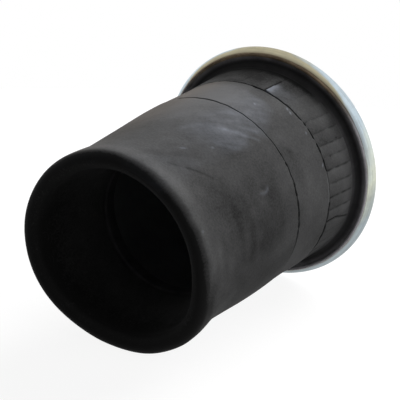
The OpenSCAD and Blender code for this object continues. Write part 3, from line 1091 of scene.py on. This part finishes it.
# Pale brush streaks on the body, painted as part of the sheen over the top, and dark scratches: both ends as
# (degrees, millimetres), half width in millimetres and strength
BRUSH_AND_SHEEN_STREAKS = (
    ((9, 184), (14.5, 167), 2.2, 0.05), ((14.5, 167), (24.8, 153), 2.2, 0.06),
    ((24.8, 153), (34.3, 141.3), 2.1, 0.12), ((34.3, 141.3), (40, 132), 1.6, 0.1),
    ((21.2, 144.3), (24.2, 127.2), 2.6, 0.05), ((26.9, 139), (35.2, 127), 1.7, 0.08),
    ((10.9, 153.6), (14.6, 132.6), 2.0, 0.05), ((17.8, 124.5), (30, 116.3), 6, 0.06),
    ((15, 106), (25, 92), 7, 0.06))
SCRATCHES = (
    ((25.3, 239.5), (32.4, 228), 1.0, 0.25), ((33, 227), (38.1, 218.6), 1.1, 0.55),
    ((38.1, 218.6), (44.5, 210.5), 1.3, 0.42), ((44.5, 210.5), (48.9, 205), 1.3, 0.2))

# Small pale specks on the body: place as (degrees, millimetres), size in millimetres and strength
SPECKS = (
    ((21.6, 209), 3.0, 0.9, 0.55), ((30.1, 183), 1.3, 1.1, 0.45), ((64.8, 256.7), 1.2, 1.2, 0.3))


class AIRSPRING_OT_outer_covers(bpy.types.Operator):
    """Makes the ribbed band, the shoulder band and the long body cover with its rolled lip"""

    bl_idname = "airspring.outer_covers"
    bl_label = "Outer covers"

    def execute(self, context):
        self.ribbed_band(context.scene.sleeve)
        self.shoulder_band()
        self.body_cover()
        return {"FINISHED"}

    def strip(self, name, start, end, step, finish, segments):
        """A cover strip of the outer wall from one depth to another."""
        outline = beside(outside_radius, row_depths(start, end, step, (start, end)))
        outline += beside(outside_radius, row_depths(start, end, 5 * MM)[::-1], -PLY_1, 0)
        return turned(name, outline, finish, segments)

    def complete(self, piece, nodes, rise, **marks_and_painted_light):
        """Gives a cover its relief, the numbers that its material uses and its dents, and bakes its
        transform into its mesh.
        """
        _, _, _, skin = polar(piece)
        raise_skin(piece, rise * (skin > 0.5))
        for name, values in marks_and_painted_light.items():
            keep(piece, name, values)
        sag(piece)
        smooth(piece, 50)
        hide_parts(*nodes)
        bend_wall(piece)

    def pleats(self, turn, depth, count):
        """Each point's place in pleats, its nearest crease's strength and its own pleat's shade."""
        at, at_depth = PLEAT_PLACE
        lines = (turn - PLEAT_LEAN * (at_depth * MM - depth) - at) / (360 / count)
        random = np.random.default_rng(5)
        shift = random.uniform(-0.08, 0.08, count + 1)
        shift[-1] = shift[0]
        lines = lines + np.interp(lines % count, np.arange(count + 1), shift)
        strength = random.uniform(0.5, 1.0, count)[np.round(lines).astype(int) % count]
        shade = random.uniform(-0.1, 0.1, count)[np.floor(lines).astype(int) % count]
        return lines, strength, shade

    def ribbed_band(self, settings):
        band = self.strip("ribbed_band_rubber", FLARE, UPPER_SEAM, 0.8 * MM, "Ribbed rubber", 900)
        turn, depth, _, _ = polar(band)
        count = settings.rib_count
        lines, strength, shade = self.pleats(turn, depth, count)
        slope = 0.5 - lines % 1
        groove, groove_half, dark_half = 0.35 * MM, 0.6 * MM, 0.8 * MM
        near = np.abs(lines - np.round(lines)) * math.tau / count * SHOULDER_R
        # The pleats are pressed nearly flat at the top, and are nearly missing right of the second splice
        clear = ramp(depth, FLARE, FLARE + 7 * MM)
        plain_end = window(turn, 103.5, 105, 135, 160)
        behind = fall(turn, -90, -52)
        pressed = (0.15 + 0.85 * np.maximum(ramp(turn, 36, 58), behind)) * (1 - 0.92 * plain_end)
        patchy = 0.75 + 0.35 * waves(np.degrees(lines), depth, 9, (1, 3), (0.006, 0.03))
        strength = strength * clear * pressed * np.clip(patchy, 0.25, 1.2)
        # The dark line along each pleat's crease is painted shade
        crease = 0.85 * strength * bell(near, dark_half)
        rise = settings.rib_height * slope * clear - groove * strength * bell(near, groove_half)
        for start, end in SPLICES:
            mark = stroke(turn, depth, start, end, 0.8)
            crease = np.maximum(crease, 0.95 * mark)
            rise -= 0.8 * MM * mark
        # Just right of each splice the strip stands up, and beside the first one it is scuffed and painted
        # with a pale sheen
        lifted = window(turn, 15.3, 15.9, 15.6, 24) * ramp(depth, 34 * MM, 58 * MM)
        rise += 0.5 * MM * lifted + 0.6 * MM * window(turn, 104, 106, 108, 125)
        scuff = 0.5 * lifted * fall(turn, 16.5, 22)
        scuff += 0.1 * window(turn, 15.3, 15.9, 20, 36) * ramp(depth, 36 * MM, 50 * MM)
        crease = np.maximum(crease, spot(turn, depth, (15.4, 61), 2.2, 1.4))
        for place in NICKS:
            crease = np.maximum(crease, spot(turn, depth, place, 0.8, 1.2))
        # Each pleat is painted lighter at one edge and darker at the other, as painted shading of its step,
        # and has its own random tone
        even = 0.06 * waves(turn, depth, 8, (3, 20), (0.02, 0.2)) + pressed * (0.3 * slope + shade)
        dust = self.ribbed_dust(turn, depth, even)
        dust += (even - dust) * np.maximum(ramp(turn, 140, 165), behind)
        drop, dark = seam(turn, depth, "upper")
        self.complete(band, ["ribbed_band"], rise - drop, dust=dust, scuff=scuff,
                      crease=np.maximum(crease, dark))

    def ribbed_dust(self, turn, depth, even):
        """Dust and painted shading on the seen side: painted shade under the rim at the flare, on the left
        and at the bottom right, and lighter on the right towards the flare.
        """
        right = ramp(turn, 26, 62)
        dust = even - 0.16 * fall(turn, 10, 14) - 0.1 * fall(turn, 24, 34)
        dust -= (0.46 - 0.38 * right) * fall(depth, FLARE, FLARE + 10 * MM)
        dust += 0.26 * right * fall(depth, 28 * MM, UPPER_SEAM) - 0.35 * ramp(turn, 118, 132)
        return dust + patches(turn, depth, RIBBED_DUST_AND_SHADING)

    def shoulder_band(self):
        band = self.strip(
            "shoulder_cover_band_rubber", UPPER_SEAM, LOWER_SEAM, 0.9 * MM, "Shoulder rubber", 720)
        turn, depth, _, _ = polar(band)
        upper, upper_dark = seam(turn, depth, "upper")
        lower, lower_dark = seam(turn, depth, "lower")
        # A stretch of the strip's edge at the upper seam is squeezed up into a pale ridge
        ridge = window(turn, 73, 78, 89, 92) * bell(depth - UPPER_SEAM - 1.4 * MM, 1 * MM)
        rise = 0.22 * MM * waves(turn, depth, 21, (2, 8), (0.06, 0.3)) + 0.3 * MM * ridge
        # Painted sheen over the top, pale on the left and bluish on the right
        top_sheen = self.top_sheen(turn, depth, 23)
        dust = 0.07 * waves(turn, depth, 22, (3, 18), (0.03, 0.2)) + 0.5 * ridge
        dust += self.pale_sheen(top_sheen, turn) + patches(turn, depth, SHOULDER_DUST_AND_SHADING)
        # Slightly darker on the right, and painted shade at the bottom right
        dust -= 0.07 * on_right(turn, 22, 40) + 0.3 * on_right(turn, 122, 134)
        marks_and_painted_light = self.scuffed(top_sheen, turn)
        for place in SCUFFS:
            marks_and_painted_light += 0.5 * spot(turn, depth, place, 1.6, 0.9, 35)
        self.complete(band, ["shoulder_cover_band"], rise - upper - lower, dust=dust, scuff=marks_and_painted_light,
                      crease=np.maximum(upper_dark, lower_dark), brown=self.brown(turn, depth))

    def top_sheen(self, turn, depth, seed):
        """Share of the painted sheen over the top of the sleeve, which has a ragged edge on the right."""
        edge = 42 - 25 * np.clip((116 * MM - depth) / (41 * MM), 0, 1) - 5 * ramp(depth, 120 * MM, 140 * MM)
        ragged = turn + 3 * waves(turn, depth, seed, (4, 16), (0.03, 0.09))
        top = ramp(edge - ragged, -4, 4) * ramp(ragged, -110, -60)
        return top * (0.2 + 0.8 * window(depth, 66 * MM, 84 * MM, 156 * MM, 204 * MM))

    def pale_sheen(self, top_sheen, turn):
        """The part of the painted sheen that is pale, mostly on the left."""
        return 0.42 * top_sheen * fall(turn, 2, 20)

    def scuffed(self, top_sheen, turn):
        """The part of the painted sheen that is bluish, mostly on the right."""
        return top_sheen * (0.03 + 0.15 * ramp(turn, 2, 22))

    def brown(self, turn, depth):
        """Where the dust is brownish: on the left, most of all beside the seam."""
        return window(turn, -120, -70, -22, 2) * (0.45 + 0.55 * fall(depth, 150 * MM, 235 * MM))

    def body_cover(self):
        outline = beside(outside_radius, row_depths(LOWER_SEAM, FOLD_LINE, 1.4 * MM, (LOWER_SEAM,))[:-1])
        outline += arc(FOLD_X, FOLD_LINE, FOLD_R, 0, 90, 16)
        outline += arc(FOLD_X, FOLD_LINE, FOLD_R - PLY_1, 90, 0, 8, 0)
        outline += beside(outside_radius, row_depths(LOWER_SEAM, FOLD_LINE, 10 * MM)[-2::-1], -PLY_1, 0)
        cover = turned("body_cover_rubber", outline, "Body rubber", 600)
        turn, depth, _, _ = polar(cover)
        drop, dark = seam(turn, depth, "lower")
        top_sheen = self.top_sheen(turn, depth, 33)
        crescent, pit = self.crescent(turn, depth)
        # The pale number holds the bluish painted sheen, the crescent's painted highlight, streaks and
        # specks
        scratch, marks_and_painted_light = np.zeros_like(depth), self.scuffed(top_sheen, turn) + 0.13 * crescent
        for start, end, width, amount in SCRATCHES:
            scratch = np.maximum(scratch, amount * stroke(turn, depth, start, end, width))
        for start, end, width, amount in BRUSH_AND_SHEEN_STREAKS:
            marks_and_painted_light += amount * stroke(turn, depth, start, end, width)
        for place, wide, long, amount in SPECKS:
            marks_and_painted_light += amount * spot(turn, depth, place, wide, long, -50)
        still = fall(depth, FOLD_LINE - 30 * MM, FOLD_LINE)
        rise = 0.3 * MM * waves(turn, depth, 31, (2, 7), (0.08, 0.4)) * still - drop
        rise += MM * (0.3 * crescent - 0.4 * pit - 0.1 * scratch)
        # Pale painted sheen over the top, and painted shade in the crescent's pit
        dust = self.body_dust(turn, depth) + self.pale_sheen(top_sheen, turn) - 0.18 * pit
        self.complete(cover, ["body_cover", "lobe_cover"], rise, dust=dust, scuff=marks_and_painted_light,
                      crease=np.maximum(dark, scratch), brown=self.brown(turn, depth))

    def crescent(self, turn, depth):
        """The small raised crescent mark on the body, painted pale along its right side as a painted
        highlight, and the pit inside it, which is painted darker as painted shade.
        """
        at, at_depth, wide, long, line = 61.8, 163 * MM, 5.2, 6.2, 1.5
        across, along = (turn - at) * DEGREE, depth - at_depth
        ring = np.hypot(across / wide, along / long) / MM - 1
        mark = bell(ring * wide, line) * ramp(across * 0.8 - along * 0.12, 0.3 * MM, 3 * MM)
        return mark, spot(turn, depth, (61.9, 163.8), 1.8, 2.8, 30)

    def body_dust(self, turn, depth):
        """Dust and painted light on the long body: cloudy, darker on the right and at the lip, with rings
        near the fold and a painted band of light before the lip.
        """
        dust = 0.06 * waves(turn, depth, 32, (2, 14), (0.04, 0.3)) + patches(turn, depth, BODY_DUST_AND_SHADING)
        rings = window(turn, 50, 65, 90, 104) * ramp(depth, 170 * MM, 190 * MM)
        dust += 0.07 * rings * waves(turn, depth, 34, (0, 2), (0.011, 0.028), 5)
        # Darker down the right side
        side = window(turn, 44, 62, 140, 170)
        dust -= (0.08 + 0.07 * ramp(depth, 150 * MM, 175 * MM)) * side
        # A painted band of light just before the lip, on the top and left
        band = bell(depth - 252 * MM, 7 * MM)
        dust += band * (0.15 * fall(turn, 60, 95) + 0.12 * fall(turn, 36, 52))
        # Darker at the lower right just before the lip
        dust -= 0.34 * ramp(depth, 245 * MM, 257 * MM) * window(turn, 84, 104, 140, 170)
        later = 1.1 * MM * window(turn, 8, 22, 84, 98)
        return dust - 0.9 * ramp(depth - later, FOLD_LINE + 3 * MM, FOLD_END - 0.5 * MM)


# Layers under the cover: name, material, slot, depths of both faces and whether the bead turns it up
LAYERS = (
    ("outer_ply", "Cord ply", "cord_ply", PLY_1, PLY_2, True),
    ("inner_ply", "Cord ply", "cord_ply", PLY_2, LINER_1, True),
    ("liner", "Liner rubber", "liner_rubber", LINER_1, WALL, False))


class AIRSPRING_OT_wall_layers(bpy.types.Operator):
    """Makes the plies and the liner of the outer wall and of the fold's outer half"""

    bl_idname = "airspring.wall_layers"
    bl_label = "Plies and liner"

    def execute(self, context):
        for layer, finish, slot_name, near, far, wrapped in LAYERS:
            outline = wall_path(near, wrapped) + wall_path(far, wrapped)[::-1]
            piece = turned(f"{layer}_wall", outline, finish, 192)
            sag(piece)
            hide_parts(layer, f"lobe_{layer}")
            bend_wall(piece)
        return {"FINISHED"}


class AIRSPRING_OT_mouth(bpy.types.Operator):
    """Makes the turned-in wall: the cover inside the mouth, its plies and its liner"""

    bl_idname = "airspring.mouth"
    bl_label = "Turned-in wall"

    def execute(self, context):
        cover = ("cover", "Body rubber", "cover_rubber", 0.0, PLY_1, False)
        for layer, finish, slot_name, near, far, _ in (cover, *LAYERS):
            fine = layer == "cover"
            step, segments = (2 * MM, 480) if fine else (5 * MM, 192)
            outline = mouth_path(near, step, int(fine)) + mouth_path(far)[::-1]
            mouth = turned(f"mouth_{layer}", outline, finish, segments)
            outline = bead_path(near, step, int(fine)) + bead_path(far)[::-1]
            end = turned(f"bead_side_{layer}", outline, finish, segments)
            for piece in (mouth, end):
                if fine:
                    _, depth, _, _ = polar(piece)
                    # Clean at the lip; deeper in, the wall is paler as painted light inside the dark mouth
                    keep(piece, "dust", 0.55 * fall(depth, 205 * MM, 258 * MM) - 0.55)
                sag(piece, inside=True)
                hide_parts(f"turned_in_{layer}")
            bend_mouth(mouth)
            bend_bead(end)
        return {"FINISHED"}


class AIRSPRING_OT_lower_bead(bpy.types.Operator):
    """Makes the lower bead's hard skin and dresses the wire ring, filler and plies inside it"""

    bl_idname = "airspring.lower_bead"
    bl_label = "Lower bead"

    def execute(self, context):
        dress("lower_bead_core", "Bead wire")
        dress("lower_bead_filler", "Bead rubber")
        dress("lower_bead_plies", "Bead rubber")
        corner, worn, turned_down = 2 * MM, 0.8 * MM, 6 * MM
        seat_end = BEAD_LINE - 4.5 * MM
        step = BORE_R - SEAT_R
        wire_out, high, low = ring_size("lower_bead_core")
        wire_r, wire_y = (low - high) / 2, (low + high) / 2
        wire_x = wire_out - wire_r
        wrap = wire_r + LINER_1 - PLY_1
        outline = [(BORE_R, BEAD_LINE, 1), (BORE_R, seat_end + step + worn / 2, 1),
                   (BORE_R - worn / 2, seat_end + step - worn / 2, 1),
                   (SEAT_R + worn / 2, seat_end + worn / 2, 1), (SEAT_R + worn / 8, seat_end - worn / 8, 1)]
        outline += [(SEAT_R, float(y), 1) for y in np.linspace(seat_end - worn, BEAD_TOP + corner, 8)]
        outline += arc(SEAT_R + corner, BEAD_TOP + corner, corner, 180, 270, 8)
        outline += arc(BEAD_OUTER_R - corner, BEAD_TOP + corner, corner, 270, 360, 8)
        outline += [(BEAD_OUTER_R, wire_y + turned_down, 1), (BORE_R + WALL, BEAD_LINE, 0),
                    (wire_x - wire_r, BEAD_LINE, 0), (wire_x + wire_r, wire_y + turned_down, 0),
                    (wire_x + wrap, wire_y + turned_down, 0)]
        outline += arc(wire_x, wire_y, wrap, 0, -180, 16, 0)
        outline.append((wire_x - wrap, BEAD_LINE, 0))
        bead = turned("lower_bead_chafer_rubber", outline, "Chafer rubber", 360)
        _, depth, radius, skin = polar(bead)
        # A little dust on the bead's skin, raised as painted light inside the mouth, and a painted highlight
        # along the seat's step
        edge = bell(depth - seat_end - step / 2, 1.2 * MM)
        keep(bead, "dust", skin * (0.08 + 0.05 * edge * (radius < BORE_R + worn)))
        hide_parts("lower_bead_chafer")
        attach(bead, "lower_bead")
        return {"FINISHED"}


class AIRSPRING_PT_sidebar(bpy.types.Panel):
    """Lists the pieces of the air spring and their settings"""

    bl_idname = "AIRSPRING_PT_sidebar"
    bl_label = "Air Spring"
    bl_space_type = "VIEW_3D"
    bl_region_type = "UI"
    bl_category = "Air Spring"

    def draw(self, context):
        for operator in OPERATORS:
            self.layout.operator(operator.bl_idname)
        for group in (context.scene.sleeve, context.scene.plate, context.scene.stage):
            box = self.layout.box()
            for key in group.__annotations__:
                box.prop(group, key)


OPERATORS = (
    AIRSPRING_OT_camera, AIRSPRING_OT_stage, AIRSPRING_OT_bead_plate, AIRSPRING_OT_studs,
    AIRSPRING_OT_air_port, AIRSPRING_OT_upper_bead, AIRSPRING_OT_outer_covers, AIRSPRING_OT_wall_layers,
    AIRSPRING_OT_mouth, AIRSPRING_OT_lower_bead)
GROUPS = {"sleeve": SleeveSettings, "plate": PlateSettings, "stage": StageSettings}


def register():
    for cls in (*GROUPS.values(), *OPERATORS, AIRSPRING_PT_sidebar):
        bpy.utils.register_class(cls)
    for name, cls in GROUPS.items():
        setattr(bpy.types.Scene, name, PointerProperty(type=cls))


def unregister():
    for name in GROUPS:
        delattr(bpy.types.Scene, name)
    for cls in reversed((*GROUPS.values(), *OPERATORS, AIRSPRING_PT_sidebar)):
        bpy.utils.unregister_class(cls)


def main():
    register()
    for operator in OPERATORS:
        family, name = operator.bl_idname.split(".")
        getattr(getattr(bpy.ops, family), name)()


if __name__ == "__main__":
    main()
